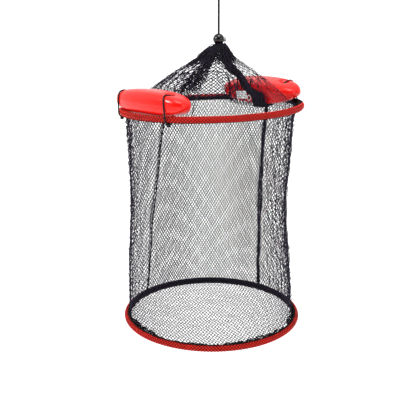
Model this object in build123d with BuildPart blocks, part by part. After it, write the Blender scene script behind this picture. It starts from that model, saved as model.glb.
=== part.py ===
"""Hanging folding crab trap: two sprung-wire hoops, a netting tube, a drawn netting cone and two lashed floats.

The origin is the inside top of the hanging loop, where a hook holds the trap. +Z is up.
Heights called "rise" are measured from the plane of the top hoop. All sizes are millimetres.
"""

from build123d import *
from math import cos, pi, radians, sin, sqrt, tan
import os

os.makedirs("parts", exist_ok=True)

# ---------------------------------------------------------------- driving dimensions
HOOP_RADIUS = 120.8  # centreline of both hoops, so 250 across outside
TUBE_RADIUS = 4.2  # braided cover over core and wire
CORE_RADIUS = 3.3
WIRE_RADIUS = 1.5
HOOP_SPACING = 293.0  # from one hoop's centre to the other's
HANG_TO_TOP = 190.0  # from the hanging point down to the top hoop
AXIS_OFFSET = 9.5  # the hoops hang this far to -X of the cord
BOTTOM_FORWARD = 10.4  # the bottom hoop hangs this far forward, to -Y
TOP_RISE_X, TOP_RISE_Y = 0.0296, 0.0190  # slope of the top hoop's plane along X and Y
BOTTOM_RISE_X, BOTTOM_RISE_Y = -0.0060, 0.0095

BINDING = 0.6  # thickness of the whipping that ties the net to a hoop
NET = 0.8  # wall of the netting's solid
NET_RADIUS = 114.6  # outside of the netting where it meets a hoop
WAIST_RADIUS = 108.0  # outside of the netting half way down
NET_TOP = -11.2  # rise of the side netting's top edge
BOTTOM_NET_SAG = 3.0

CORD = 3.0  # diameter of the haul cord
LASHING = 2.0  # diameter of the cord that ties a float
FLOAT_LENGTH, FLOAT_WIDTH, FLOAT_HEIGHT = 146.0, 46.0, 33.0
FLOAT_HOLE = 5.0
FLOAT_HOLE_AT = 46.0  # each hole's distance from the middle of the float
FLAT_WALL = 65.8  # the cone's netting is pressed in to this distance by a float

BALL_RADIUS = 7.5
BALL_RISE = 89.0
PLUNGER_RADIUS = 3.2
PLUNGER_PROUD = 3.4  # how far the button stands out of the ball
PLUNGER_TRAVEL = 2.4
RUNNING = 0.35  # radial clearance of pieces that slide in each other

# ---------------------------------------------------------------- frames of the two hoops
top_centre = Vector(-AXIS_OFFSET, 0, -HANG_TO_TOP)
bottom_centre = top_centre + Vector(0, -BOTTOM_FORWARD, -HOOP_SPACING)
top_plane = Plane(origin=top_centre, x_dir=(1, 0, TOP_RISE_X), z_dir=(-TOP_RISE_X, -TOP_RISE_Y, 1))
bottom_plane = Plane(
    origin=bottom_centre, x_dir=(1, 0, BOTTOM_RISE_X), z_dir=(-BOTTOM_RISE_X, -BOTTOM_RISE_Y, 1)
)


def rise(height):
    """Height in the model of a rise above the top hoop's centre."""
    return height - HANG_TO_TOP


def export(shape, name):
    shape.label = name
    export_step(shape, f"parts/{name}.step")


def upright(plane):
    """The plane holding a hoop's section: its X runs outward and its Y along the hoop's axis."""
    return Plane(origin=plane.origin, x_dir=plane.x_dir, z_dir=-plane.y_dir)


def turned(plane, azimuth):
    """The plane turned about its own Z."""
    angle = radians(azimuth)
    return Plane(
        origin=plane.origin, x_dir=plane.x_dir * cos(angle) + plane.y_dir * sin(angle), z_dir=plane.z_dir
    )


def leant(plane, angle):
    """The plane turned about its own Y so that its +X side rises."""
    slant = radians(angle)
    return Plane(
        origin=plane.origin,
        x_dir=plane.x_dir * cos(slant) + plane.z_dir * sin(slant),
        z_dir=plane.z_dir * cos(slant) - plane.x_dir * sin(slant),
    )


# ---------------------------------------------------------------- hoops
FERRULE_RADIUS, FERRULE_ARC = 2.4, 12.0  # the ferrule's outside, and the degrees it spans
WIRE_GAP = 1.0  # degrees between the wire's ends, inside the ferrule


def make_hoop(name, plane, whipping_from, whipping_to):
    """Wire, crimped ferrule, soft core, braided cover and whipping of one hoop.

    The whipping's limits are angles of the tube's section, 0 outward and 90 up, and it covers
    the side that faces into the trap.
    """
    section = upright(plane)
    axis = Axis(plane.origin, plane.z_dir)
    with BuildPart() as wire:
        with BuildSketch(section):
            with Locations((HOOP_RADIUS, 0)):
                Circle(WIRE_RADIUS)
        revolve(axis=axis, revolution_arc=360 - WIRE_GAP)
    wire_part = wire.part.rotate(axis, 90 + WIRE_GAP / 2)
    export(wire_part, f"{name}_hoop_wire")

    with BuildPart() as ferrule:
        with BuildSketch(section):
            with Locations((HOOP_RADIUS, 0)):
                Circle(FERRULE_RADIUS)
                Circle(WIRE_RADIUS, mode=Mode.SUBTRACT)
        revolve(axis=axis, revolution_arc=FERRULE_ARC)
    export(ferrule.part.rotate(axis, 90 - FERRULE_ARC / 2), f"{name}_hoop_ferrule")

    recess_arc = FERRULE_ARC + 1.0
    with BuildPart() as recess:
        with BuildSketch(section):
            with Locations((HOOP_RADIUS, 0)):
                Circle(FERRULE_RADIUS + 0.1)
        revolve(axis=axis, revolution_arc=recess_arc)
    with BuildPart() as core:
        with BuildSketch(section):
            with Locations((HOOP_RADIUS, 0)):
                Circle(CORE_RADIUS)
                Circle(WIRE_RADIUS + 0.05, mode=Mode.SUBTRACT)
        revolve(axis=axis)
        add(recess.part.rotate(axis, 90 - recess_arc / 2), mode=Mode.SUBTRACT)
    export(core.part, f"{name}_hoop_core")

    with BuildPart() as sleeve:
        with BuildSketch(section):
            with Locations((HOOP_RADIUS, 0)):
                Circle(TUBE_RADIUS)
                Circle(CORE_RADIUS + 0.02, mode=Mode.SUBTRACT)
        revolve(axis=axis)
    export(sleeve.part, f"{name}_hoop_sleeve")

    inner, outer = TUBE_RADIUS + 0.02, TUBE_RADIUS + BINDING
    middle = (whipping_from + whipping_to) / 2
    corners = [
        (HOOP_RADIUS + r * cos(radians(a)), r * sin(radians(a)))
        for r, a in (
            (inner, whipping_from),
            (inner, middle),
            (inner, whipping_to),
            (outer, whipping_to),
            (outer, middle),
            (outer, whipping_from),
        )
    ]
    with BuildPart() as whipping:
        with BuildSketch(section):
            with BuildLine():
                ThreePointArc(*corners[:3])
                Line(corners[2], corners[3])
                ThreePointArc(*corners[3:])
                Line(corners[5], corners[0])
            make_face()
        revolve(axis=axis)
    export(whipping.part, f"{name}_hoop_whipping")


make_hoop("top", top_plane, 170.0, 300.0)
make_hoop("bottom", bottom_plane, 90.0, 240.0)


# ---------------------------------------------------------------- netting tube and floor
side_top = top_plane.offset(NET_TOP)
side_bottom = bottom_plane.offset(TUBE_RADIUS + 3.0)
waist = Plane(
    origin=(side_top.origin + side_bottom.origin) / 2, x_dir=(1, 0, 0), z_dir=side_top.z_dir + side_bottom.z_dir
)


def net_tube(inset, overrun):
    """Solid filling the netting tube, drawn in by inset and longer at both ends by overrun."""
    with BuildPart() as filled:
        for plane, radius in (
            (side_top.offset(overrun), NET_RADIUS),
            (waist, WAIST_RADIUS),
            (side_bottom.offset(-overrun), NET_RADIUS),
        ):
            with BuildSketch(plane):
                Circle(radius - inset)
        loft()
    return filled.part


with BuildPart() as side_net:
    add(net_tube(0.0, 0.0))
    add(net_tube(NET, 2.0), mode=Mode.SUBTRACT)
export(side_net.part, "side_net")


SEAM_WIDTH, SEAM_THICK = 2.4, 1.6  # the two edges of netting rolled together
SEAM_GAP = 0.9  # keeps a seam just inside the netting that it joins
SEAM_INSET = NET + SEAM_GAP + SEAM_THICK / 2


def seam_point(plane, radius, azimuth):
    inner = radius - SEAM_INSET
    return plane.from_local_coords(Vector(inner * cos(radians(azimuth)), inner * sin(radians(azimuth)), 0))


for seam_name, azimuth_above, azimuth_below in (("right", 42.0, 48.0), ("left", 126.0, 155.0)):
    with BuildPart() as seam:
        with BuildLine() as seam_line:
            ThreePointArc(
                seam_point(side_top.offset(-2), NET_RADIUS, azimuth_above),
                seam_point(waist, WAIST_RADIUS, (azimuth_above + azimuth_below) / 2),
                seam_point(side_bottom.offset(2), NET_RADIUS, azimuth_below),
            )
        inward = turned(side_top, azimuth_above).x_dir
        with BuildSketch(Plane(origin=seam_line.line @ 0, x_dir=inward, z_dir=seam_line.line % 0)):
            Rectangle(SEAM_THICK, SEAM_WIDTH)
        sweep()
    export(seam.part, f"seam_{seam_name}")

floor_rim_radius = NET_RADIUS - 0.5
with BuildPart() as bottom_net:
    with BuildSketch(upright(bottom_plane)):
        with BuildLine():
            ThreePointArc((-floor_rim_radius, 0), (0, -BOTTOM_NET_SAG), (floor_rim_radius, 0))
            Line((floor_rim_radius, 0), (floor_rim_radius, -NET))
            ThreePointArc(
                (floor_rim_radius, -NET), (0, -BOTTOM_NET_SAG - NET), (-floor_rim_radius, -NET)
            )
            Line((-floor_rim_radius, -NET), (-floor_rim_radius, 0))
        make_face()
        with Locations((-HOOP_RADIUS, 0)):
            Rectangle(2 * HOOP_RADIUS, 4 * BOTTOM_NET_SAG, mode=Mode.SUBTRACT)
    revolve(axis=Axis(bottom_plane.origin, bottom_plane.z_dir))
export(bottom_net.part, "bottom_net")


# ---------------------------------------------------------------- floats and their lashings
FLOATS = {
    # name: azimuth on the hoop, distance from its axis, height of the middle, lean
    "front_left": (218.2, 95.5, 15.4, 5.0),
    "back_right": (39.0, 91.0, 15.4, 13.0),
}


def float_plane(azimuth, distance, height, lean):
    """Local frame of a float: X outward from the hoop's axis, Y along the float, Z up, leant about Y."""
    flat = turned(top_plane, azimuth).offset(height)
    return leant(flat.shift_origin(flat.from_local_coords(Vector(distance, 0, 0))), lean)


def float_section(along):
    """How much of its full width and height a float has at this distance from its middle."""
    return sqrt(max(0.0, 1 - (2 * along / FLOAT_LENGTH) ** 2))


FLOAT_STATIONS = (-0.995, -0.93, -0.80, -0.58, -0.30, 0.0, 0.30, 0.58, 0.80, 0.93, 0.995)
FLOAT_CORNER = 0.485  # corner radius of the section as a share of its height
FLOAT_WALL = 1.6
FLOAT_HOLE_OUT = 0.6  # the holes stand this far outward of the float's middle line


def float_solid(frame, inset):
    """The float's outer form, or its cavity when inset by the wall."""
    with BuildPart() as filled:
        for station in FLOAT_STATIONS:
            along = station * FLOAT_LENGTH / 2
            share = float_section(along)
            across = Plane(
                origin=frame.from_local_coords(Vector(0, along * (1 - 2 * inset / FLOAT_LENGTH), 0)),
                x_dir=frame.x_dir,
                z_dir=-frame.y_dir,
            )
            width = (FLOAT_WIDTH - 2 * inset) * share
            height = (FLOAT_HEIGHT - 2 * inset) * share
            with BuildSketch(across):
                RectangleRounded(width, height, FLOAT_CORNER * height)
        loft()
    return filled.part


def make_float(name, frame):
    """Blown plastic float: a closed shell with a tube through it for each lashing."""
    holes = [(FLOAT_HOLE_OUT, end * FLOAT_HOLE_AT) for end in (-1, 1)]
    with BuildPart() as cavity:
        add(float_solid(frame, FLOAT_WALL))
        with BuildSketch(frame):
            with Locations(*holes):
                Circle(FLOAT_HOLE / 2 + FLOAT_WALL)
        extrude(amount=FLOAT_HEIGHT, both=True, mode=Mode.SUBTRACT)
    with BuildPart() as hull:
        add(float_solid(frame, 0.0))
        add(cavity.part, mode=Mode.SUBTRACT)
        with BuildSketch(frame):
            with Locations(*holes):
                Circle(FLOAT_HOLE / 2)
        extrude(amount=FLOAT_HEIGHT, both=True, mode=Mode.SUBTRACT)
    export(hull.part, f"float_{name}")


def make_lashing(name, frame, end):
    """Closed loop of cord through a float's hole, over its outer side and round the hoop."""
    along = end * FLOAT_HOLE_AT
    share = float_section(along)
    half_width, half_height = FLOAT_WIDTH * share / 2, FLOAT_HEIGHT * share / 2
    azimuth, distance, height, lean = FLOATS[name]
    slant = radians(lean)
    out = sqrt(HOOP_RADIUS**2 - along**2) - distance
    # the hoop's centre seen in the float's leant frame
    hoop_x = out * cos(slant) - height * sin(slant)
    hoop_z = -out * sin(slant) - height * cos(slant)
    clear = TUBE_RADIUS + BINDING + LASHING / 2 + 0.6
    corners = [
        (hoop_x - clear - 1.0, hoop_z - clear),
        (hoop_x + clear, hoop_z - clear),
        (max(hoop_x + clear, half_width + 1.8), hoop_z + clear),
        (half_width + 1.4, 0.45 * half_height),
        (0.55 * half_width, half_height + 2.6),
        (FLOAT_HOLE_OUT, half_height + 1.8),
        (FLOAT_HOLE_OUT, -half_height),
    ]
    across = Plane(origin=frame.from_local_coords(Vector(0, along, 0)), x_dir=frame.x_dir, z_dir=-frame.y_dir)
    bends = [3.0, 5.5, 4.0, 5.0, 4.0, 2.4, 2.4]
    with BuildPart() as lashing:
        with BuildLine(across) as route:
            FilletPolyline(*corners, radius=bends, close=True)
        start = route.wire() ^ 0
        with BuildSketch(Plane(origin=start.position, z_dir=start.z_axis.direction)):
            Circle(LASHING / 2)
        sweep()
    print("lashing", name, end, "loop length", round(route.wire().length, 1))
    export(lashing.part, f"lashing_{name}_{'a' if end > 0 else 'b'}")


for float_name, place in FLOATS.items():
    local = float_plane(*place)
    make_float(float_name, local)
    for side in (1, -1):
        make_lashing(float_name, local, side)


# ---------------------------------------------------------------- netting cone up to the drawn mouth
CONE = (
    # rise, outside radius, share of the sideways lean of the cone towards the cord
    (-10.8, NET_RADIUS, 0.0),
    (0.0, NET_RADIUS, 0.0),
    (8.0, 103.0, 0.05),
    (28.0, 80.0, 0.25),
    (50.0, 51.0, 0.55),
    (62.0, 32.0, 0.75),
    (69.0, 19.0, 0.9),
    (72.6, 8.0, 1.0),
)
LEDGE = -10.0  # rise of the netting that passes under a float
float_axis = turned(top_plane, 38.6)


def filled_cone(inset, drop):
    """Solid inside the netting cone: a leaning cone, cut flat where a float presses on either side."""
    with BuildPart() as filled:
        for height, radius, lean in CONE:
            plane = top_plane.offset(height - drop)
            shifted = plane.shift_origin(plane.from_local_coords(Vector(lean * AXIS_OFFSET, 0, 0)))
            with BuildSketch(shifted):
                Circle(radius - inset)
        loft(ruled=True)
        with BuildSketch(upright(float_axis)):
            wall = FLAT_WALL - inset
            with Locations((0, 50)):
                Rectangle(2 * wall, 2 * (50 - LEDGE + drop))
            with Locations((0, LEDGE - drop - 20)):
                Rectangle(2 * HOOP_RADIUS, 40)
        extrude(amount=HOOP_RADIUS, both=True, mode=Mode.INTERSECT)
    return filled.part


with BuildPart() as cone_net:
    add(filled_cone(0.0, 0.0))
    add(filled_cone(NET, NET), mode=Mode.SUBTRACT)
export(cone_net.part, "cone_net")

# ---------------------------------------------------------------- drawn mouth
HEM_RADIUS = 4.4  # centreline of the drawcord's ring inside the gathered hem
HEM_RISE = 76.0
HEM_PROFILE = (
    # radius and rise of the gathered netting's outline, round the ring and up beside the knot
    (1.7, 74.2),
    (8.0, 74.0),
    (18.3, 71.4),
    (18.5, 72.2),
    (15.5, 76.0),
    (11.5, 80.0),
    (7.0, 82.4),
    (5.7, 82.2),
    (5.7, 78.7),
    (1.7, 78.7),
)
hem_plane = Plane.XY.offset(rise(HEM_RISE))
leg_at = HEM_RADIUS - 1.1
LEG_RADIUS = 1.4
KNOT_BASE, KNOT_TOP = 79.0, 81.1

with BuildPart() as mouth_drawcord:
    with BuildSketch(Plane.XZ.shift_origin((0, 0, rise(HEM_RISE)))):
        with Locations((HEM_RADIUS, 0)):
            Circle(CORD / 2 - 0.1)
    revolve(axis=Axis.Z)
    with BuildSketch(hem_plane):
        with Locations((leg_at, 0), (-leg_at, 0)):
            Circle(LEG_RADIUS)
    extrude(amount=KNOT_BASE - HEM_RISE + 0.8)
export(mouth_drawcord.part, "mouth_drawcord")

with BuildPart() as mouth_hem:
    with BuildSketch(Plane.XZ):
        with BuildLine():
            Polyline(*[(radius, rise(height)) for radius, height in HEM_PROFILE], close=True)
        make_face()
        with Locations((HEM_RADIUS, rise(HEM_RISE))):
            Circle(CORD / 2, mode=Mode.SUBTRACT)
    revolve(axis=Axis.Z)
    with BuildSketch(hem_plane):
        with Locations((leg_at, 0), (-leg_at, 0)):
            Circle(LEG_RADIUS + 0.1)
    extrude(amount=KNOT_BASE - HEM_RISE, mode=Mode.SUBTRACT)
export(mouth_hem.part, "mouth_hem")

KNOT_BORE = CORD / 2 + 0.02
KNOT_WIDEST, KNOT_NARROW = 5.4, 3.9
with BuildPart() as noose_knot:
    with BuildSketch(Plane.XZ):
        with BuildLine():
            Polyline(
                (KNOT_BORE, rise(KNOT_BASE)),
                (KNOT_WIDEST - 0.2, rise(KNOT_BASE)),
                (KNOT_WIDEST, rise(KNOT_BASE + 0.8)),
                (KNOT_NARROW, rise(KNOT_TOP)),
                (KNOT_BORE, rise(KNOT_TOP)),
                close=True,
            )
        make_face()
    revolve(axis=Axis.Z)
    with BuildSketch(Plane.XY.offset(rise(KNOT_BASE))):
        with Locations((leg_at, 0), (-leg_at, 0)):
            Circle(LEG_RADIUS + 0.05)
    extrude(amount=0.9, mode=Mode.SUBTRACT)
export(noose_knot.part, "noose_knot")

# ---------------------------------------------------------------- haul cord and its knot
# The cord runs straight up from the mouth, makes the hanging loop and ends in the knot.
ROUTE = [
    (0, 0, rise(KNOT_BASE)),
    (0, 0, -43),
    (6.6, 0.5, -31.5),
    (11.2, 0.8, -19.5),
    (11.8, 0.6, -9),
    (8.3, 0.3, -0.9),
    (0, 0, 2.3),
    (-8.3, -0.3, -0.9),
    (-11.8, -0.9, -9),
    (-11.0, -1.6, -19.5),
    (-6.6, -2.8, -31),
    (-1.2, -3.6, -41.5),
]
BEND_SHARE = 0.45


def bend_radii(points):
    """Radius of each corner: 0.45 of the shorter run over the tangent of half the turn."""
    found = []
    for before, at, after in zip(points, points[1:], points[2:]):
        come, leave = Vector(*at) - Vector(*before), Vector(*after) - Vector(*at)
        half_turn = radians(come.get_angle(leave)) / 2
        found.append(BEND_SHARE * min(come.length, leave.length) / tan(half_turn))
    return found


radii = bend_radii(ROUTE)
print("haul cord radii", [round(r, 1) for r in radii])
with BuildPart() as haul_cord:
    with BuildLine() as haul_route:
        FilletPolyline(*ROUTE, radius=radii)
    with BuildSketch(Plane.XY.offset(rise(KNOT_BASE))):
        Circle(CORD / 2)
    sweep()
haul_length = haul_route.wire().length
volume_ratio = haul_cord.part.volume / (pi * (CORD / 2) ** 2 * haul_length)
print("haul cord length", round(haul_length, 1), "volume ratio", round(volume_ratio, 4))
export(haul_cord.part, "haul_cord")

KNOT_CENTRE = (-0.4, -1.6, -42.0)
TURN_PITCH = 2.9  # from one wound turn of the knot to the next
TURN_RADIUS, TURN_THICK = 3.1, 1.7
with BuildPart() as haul_knot:
    with Locations(KNOT_CENTRE):
        with Locations((0, 0, -TURN_PITCH), (0, 0, TURN_PITCH)):
            Torus(TURN_RADIUS, TURN_THICK)
        Torus(TURN_RADIUS + 0.3, TURN_THICK)
        Cylinder(TURN_RADIUS + 0.1, 2 * TURN_PITCH)
    add(haul_cord.part, mode=Mode.SUBTRACT)
export(haul_knot.part, "haul_knot")

# ---------------------------------------------------------------- cord lock
lock_centre = Vector(0, 0, rise(BALL_RISE))
lock_plane = Plane(origin=lock_centre, x_dir=(0, 1, 0), z_dir=(1, 0, 0))  # Z runs out along the button
POCKET_END = -6.2
PLUNGER_END = -2.7
window_from = -CORD / 2 - RUNNING
window_to = CORD / 2 + RUNNING + PLUNGER_TRAVEL
button_face = sqrt(BALL_RADIUS**2 - PLUNGER_RADIUS**2) + PLUNGER_PROUD

with BuildPart() as lock_ball:
    with Locations(lock_centre):
        Sphere(BALL_RADIUS)
        Cylinder(CORD / 2 + RUNNING, 3 * BALL_RADIUS, mode=Mode.SUBTRACT)
    with BuildSketch(lock_plane.offset(POCKET_END)):
        Circle(PLUNGER_RADIUS + RUNNING)
    extrude(amount=2 * BALL_RADIUS, mode=Mode.SUBTRACT)
export(lock_ball.part, "lock_ball")

with BuildPart() as lock_plunger:
    with BuildSketch(lock_plane.offset(PLUNGER_END)):
        Circle(PLUNGER_RADIUS)
    extrude(amount=button_face - PLUNGER_END)
    fillet(lock_plunger.edges().sort_by(Axis.X)[-1], radius=1.0)
    with Locations(lock_centre + Vector((window_from + window_to) / 2, 0, 0)):
        Box(window_to - window_from, CORD + 2 * RUNNING, 3 * PLUNGER_RADIUS, mode=Mode.SUBTRACT)
export(lock_plunger.part, "lock_plunger")

SPRING_WIRE, SPRING_RADIUS = 0.45, 2.4
spring_from, spring_to = POCKET_END + SPRING_WIRE / 2 + 0.05, PLUNGER_END - SPRING_WIRE / 2 - 0.05
with BuildPart() as lock_spring:
    with BuildLine() as spring_line:
        Helix(pitch=(spring_to - spring_from) / 2.5, height=spring_to - spring_from, radius=SPRING_RADIUS)
    spring_start = spring_line.wire() ^ 0
    with BuildSketch(Plane(origin=spring_start.position, z_dir=spring_start.z_axis.direction)):
        Circle(SPRING_WIRE / 2)
    sweep(is_frenet=True)
spring_place = Plane(origin=lock_centre + Vector(spring_from, 0, 0), z_dir=(1, 0, 0))
export(spring_place.location * lock_spring.part, "lock_spring")

# ---------------------------------------------------------------- woven label and its loop of thread
LABEL_WIDTH, LABEL_HEIGHT, LABEL_THICK = 22.0, 11.0, 0.4
LABEL_TURN = -4.0
LABEL_ALONG, LABEL_RISE = 10.8, 9.6  # its middle's place on the netting wall beside the right float
label_frame = turned(top_plane, 38.6).offset(LABEL_RISE)
label_centre = label_frame.from_local_coords(Vector(FLAT_WALL - NET - 1.4, LABEL_ALONG, 0))
label_plane = turned(Plane(origin=label_centre, x_dir=label_frame.y_dir, z_dir=label_frame.x_dir), LABEL_TURN)
with BuildPart() as label_tag:
    with BuildSketch(label_plane):
        Rectangle(LABEL_WIDTH, LABEL_HEIGHT)
    extrude(amount=LABEL_THICK / 2, both=True)
export(label_tag.part, "label_tag")

RING_RADIUS, RING_THICK = 3.4, 1.1
RING_GAP, RING_DROP = 1.6, 4.2
with BuildPart() as label_ring:
    with Locations(label_plane.offset(-0.4)):
        with Locations((-LABEL_WIDTH / 2 - RING_RADIUS - RING_GAP, -RING_DROP, 0)):
            Torus(RING_RADIUS, RING_THICK / 2)
export(label_ring.part, "label_ring")
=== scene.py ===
"""Looks of the hanging folding crab trap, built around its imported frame.

Azimuths are measured round a hoop's own axis, 0 to the right and 90 to the back.
Section angles are measured round a hoop's tube, 0 outward, 90 up and 180 into the trap.
Lengths are metres. Named lengths written in millimetres are multiplied by MM.
"""

import math

import bpy
import numpy as np
from mathutils import Matrix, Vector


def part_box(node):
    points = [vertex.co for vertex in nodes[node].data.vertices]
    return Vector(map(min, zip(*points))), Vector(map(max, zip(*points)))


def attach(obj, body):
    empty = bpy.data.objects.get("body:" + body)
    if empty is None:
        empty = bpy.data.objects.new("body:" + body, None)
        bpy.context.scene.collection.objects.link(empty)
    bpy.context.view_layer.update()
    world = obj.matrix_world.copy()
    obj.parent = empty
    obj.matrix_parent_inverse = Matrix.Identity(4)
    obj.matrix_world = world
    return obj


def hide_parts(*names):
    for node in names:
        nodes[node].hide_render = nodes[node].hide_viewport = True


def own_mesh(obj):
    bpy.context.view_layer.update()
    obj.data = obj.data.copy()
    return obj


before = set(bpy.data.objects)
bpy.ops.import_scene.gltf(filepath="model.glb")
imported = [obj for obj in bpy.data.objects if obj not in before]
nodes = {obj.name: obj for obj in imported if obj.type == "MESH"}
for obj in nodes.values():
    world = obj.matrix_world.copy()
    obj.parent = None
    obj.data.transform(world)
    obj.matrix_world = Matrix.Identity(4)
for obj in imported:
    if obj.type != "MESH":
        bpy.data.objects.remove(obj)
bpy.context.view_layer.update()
random = np.random.default_rng(11)

MM = 0.001
TURN = 2 * math.pi


# ---- small helpers
def unit(vectors):
    """Vectors scaled to length 1 along their last axis."""
    return vectors / np.maximum(np.linalg.norm(vectors, axis=-1, keepdims=True), 1e-12)


def wrapped(angle):
    """An angle brought between -pi and pi."""
    return (angle + math.pi) % TURN - math.pi


def bell(off):
    """A smooth hill of height 1, for a distance from its top in widths."""
    return np.exp(-(off**2))


def hill(angle, centre, width):
    """Smooth hill of height 1 round an azimuth, both given in degrees."""
    return bell(wrapped(angle - math.radians(centre)) / math.radians(width))


def around(table, azimuth):
    """A value given at several azimuths in degrees, read smoothly all the way round."""
    at = np.radians([row[0] for row in table])
    return np.interp(azimuth % TURN, at, [row[1] for row in table], period=TURN)


def ripple(*terms):
    """Sum of sines: each term is (amplitude, phase)."""
    return sum(amplitude * np.sin(phase) for amplitude, phase in terms)


class Hoop:
    """A hoop's centre, axes and centreline radius, read from its braided cover."""

    def __init__(self, cover):
        low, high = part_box(cover)
        self.centre = (np.array(low) + np.array(high)) / 2
        points = np.array([v.co for v in nodes[cover].data.vertices]) - self.centre
        axis = np.linalg.svd(points, full_matrices=False)[2][2]
        self.z = axis * np.sign(axis[2])
        self.x = unit(np.array([1.0, 0.0, 0.0]) - self.z * self.z[0])
        self.y = np.cross(self.z, self.x)
        spread = np.hypot(points @ self.x, points @ self.y)
        self.radius = (spread.max() + spread.min()) / 2
        self.tube = (spread.max() - spread.min()) / 2

    def outward(self, azimuth):
        azimuth = np.asarray(azimuth)[..., None]
        return np.cos(azimuth) * self.x + np.sin(azimuth) * self.y

    def at(self, azimuth, radius, rise):
        """Points at an azimuth, a distance from the axis and a height above the hoop's plane."""
        radius, rise = np.asarray(radius)[..., None], np.asarray(rise)[..., None]
        return self.centre + radius * self.outward(azimuth) + rise * self.z

    def section(self, azimuth, angle, distance):
        """Points round the tube at a section angle and a distance from its centreline."""
        return self.at(azimuth, self.radius + distance * np.cos(angle), distance * np.sin(angle))

    def section_normal(self, azimuth, angle):
        angle = np.asarray(angle)[..., None]
        return np.cos(angle) * self.outward(azimuth) + np.sin(angle) * self.z


top = Hoop("top_hoop_sleeve")
bottom = Hoop("bottom_hoop_sleeve")


# ---- meshes
def linked(name, data):
    """A new object of this data, in the scene."""
    made = bpy.data.objects.new(name, data)
    bpy.context.scene.collection.objects.link(made)
    return made


class Build:
    """Collects vertices, four-sided faces and their UVs, and makes one piece of them."""

    def __init__(self):
        self.vertices, self.faces, self.uvs, self.count = [], [], [], 0

    def add(self, vertices, faces, uvs=None):
        self.vertices.append(vertices.reshape(-1, 3))
        self.faces.append(faces.reshape(-1, 4) + self.count)
        self.uvs.append(np.zeros((len(self.faces[-1]), 4, 2)) if uvs is None else uvs.reshape(-1, 4, 2))
        self.count += len(self.vertices[-1])

    def piece(self, name, look, body, slot, stands_for=()):
        """One object of all that was added. It rides on a body and stands for some CAD nodes."""
        mesh = bpy.data.meshes.new(name)
        mesh.from_pydata(np.concatenate(self.vertices), [], np.concatenate(self.faces))
        layer = mesh.uv_layers.new(name="UVMap")
        layer.data.foreach_set("uv", np.concatenate(self.uvs).astype(np.float32).ravel())
        mesh.shade_smooth()
        mesh.materials.append(look)
        made = linked(name, mesh)
        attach(made, body)
        if stands_for:
            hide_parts(*stands_for)
        return made


def tubes(build, paths, normals, width, thick=None, sides=4, closed=False, beats=None):
    """Adds a tube along each path. Normals say which way its thickness lies.

    V runs in millimetres along it, or counts a braid's crossings from the number in beats.
    """
    thick = width if thick is None else thick
    if closed:
        along = np.roll(paths, -1, axis=1) - np.roll(paths, 1, axis=1)
    else:
        along = np.gradient(paths, axis=1)
    along = unit(along)
    side = unit(np.cross(along, normals))
    up = np.cross(side, along)
    angle = TURN * (np.arange(sides) + 0.5) / sides
    width = np.broadcast_to(np.asarray(width, float), paths.shape[:2])[:, :, None, None]
    thick = np.broadcast_to(np.asarray(thick, float), paths.shape[:2])[:, :, None, None]
    across = width * np.cos(angle)[:, None] * side[:, :, None]
    ring = paths[:, :, None] + across + thick * np.sin(angle)[:, None] * up[:, :, None]
    count, steps = paths.shape[:2]
    index = np.arange(count * steps * sides).reshape(count, steps, sides)
    here = index if closed else index[:, :-1]
    there = np.roll(index, -1, axis=1) if closed else index[:, 1:]
    faces = np.stack([here, there, np.roll(there, -1, axis=2), np.roll(here, -1, axis=2)], axis=-1)
    u = np.arange(sides) / sides
    uvs = np.zeros((*faces.shape[:3], 4, 2))
    uvs[..., (0, 1), 0] = u[:, None]
    uvs[..., (2, 3), 0] = (u + 1 / sides)[:, None]
    if beats is None:
        run = np.linalg.norm(np.roll(paths, -1, axis=1) - paths, axis=-1).cumsum(axis=1) / MM
        run = np.concatenate([np.zeros((count, 1)), run], axis=1)[:, : faces.shape[1] + 1]
        start, end = run[:, :-1], run[:, 1:]
    else:
        start = beats[0] + beats[1] * np.arange(faces.shape[1])[None]
        end = start + beats[1]
    uvs[..., (0, 3), 1] = start[:, :, None, None]
    uvs[..., (1, 2), 1] = end[:, :, None, None]
    faces, uvs = faces.reshape(-1, 4), uvs.reshape(-1, 4, 2)
    if not closed and sides == 4:
        caps = np.concatenate([index[:, 0], index[:, -1, ::-1]])
        faces = np.concatenate([faces, caps])
        uvs = np.concatenate([uvs, np.zeros((len(caps), 4, 2))])
    build.add(ring, faces, uvs)


def grid(build, points, wrap_u=False, wrap_v=False):
    """Adds a sheet of faces over a grid of points."""
    rows, columns = points.shape[:2]
    index = np.arange(rows * columns).reshape(rows, columns)
    down = np.roll(index, -1, axis=0) if wrap_v else index[1:]
    here = index if wrap_v else index[:-1]
    if wrap_u:
        faces = np.stack([here, np.roll(here, -1, 1), np.roll(down, -1, 1), down], axis=-1)
    else:
        faces = np.stack([here[:, :-1], here[:, 1:], down[:, 1:], down[:, :-1]], axis=-1)
    build.add(points, faces)


def carried(path, closed, first):
    """Normals along a path that turn as little as they can, starting from one direction."""
    along = np.roll(path, -1, 0) - np.roll(path, 1, 0) if closed else np.gradient(path, axis=0)
    along = unit(along)
    normals = np.zeros_like(path)
    normal = np.asarray(first, float)
    for i, direction in enumerate(along):
        normal = unit(normal - direction * (normal @ direction))
        normals[i] = normal
    if closed:
        back = unit(normals[-1] - along[0] * (normals[-1] @ along[0]))
        twist = math.atan2(np.cross(back, normals[0]) @ along[0], back @ normals[0])
        share = np.arange(len(path))[:, None] / len(path) * twist
        normals = np.cos(share) * normals + np.sin(share) * np.cross(along, normals)
    return normals, np.cross(along, normals)


def spaced(path, count, closed=False):
    """The same path with this many points at equal distances."""
    if closed:
        path = np.concatenate([path, path[:1]])
    run = np.concatenate([[0], np.linalg.norm(np.diff(path, axis=0), axis=1).cumsum()])
    at = np.linspace(0, run[-1], count, endpoint=not closed)
    return np.stack([np.interp(at, run, values) for values in path.T], axis=-1), run[-1]


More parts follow.
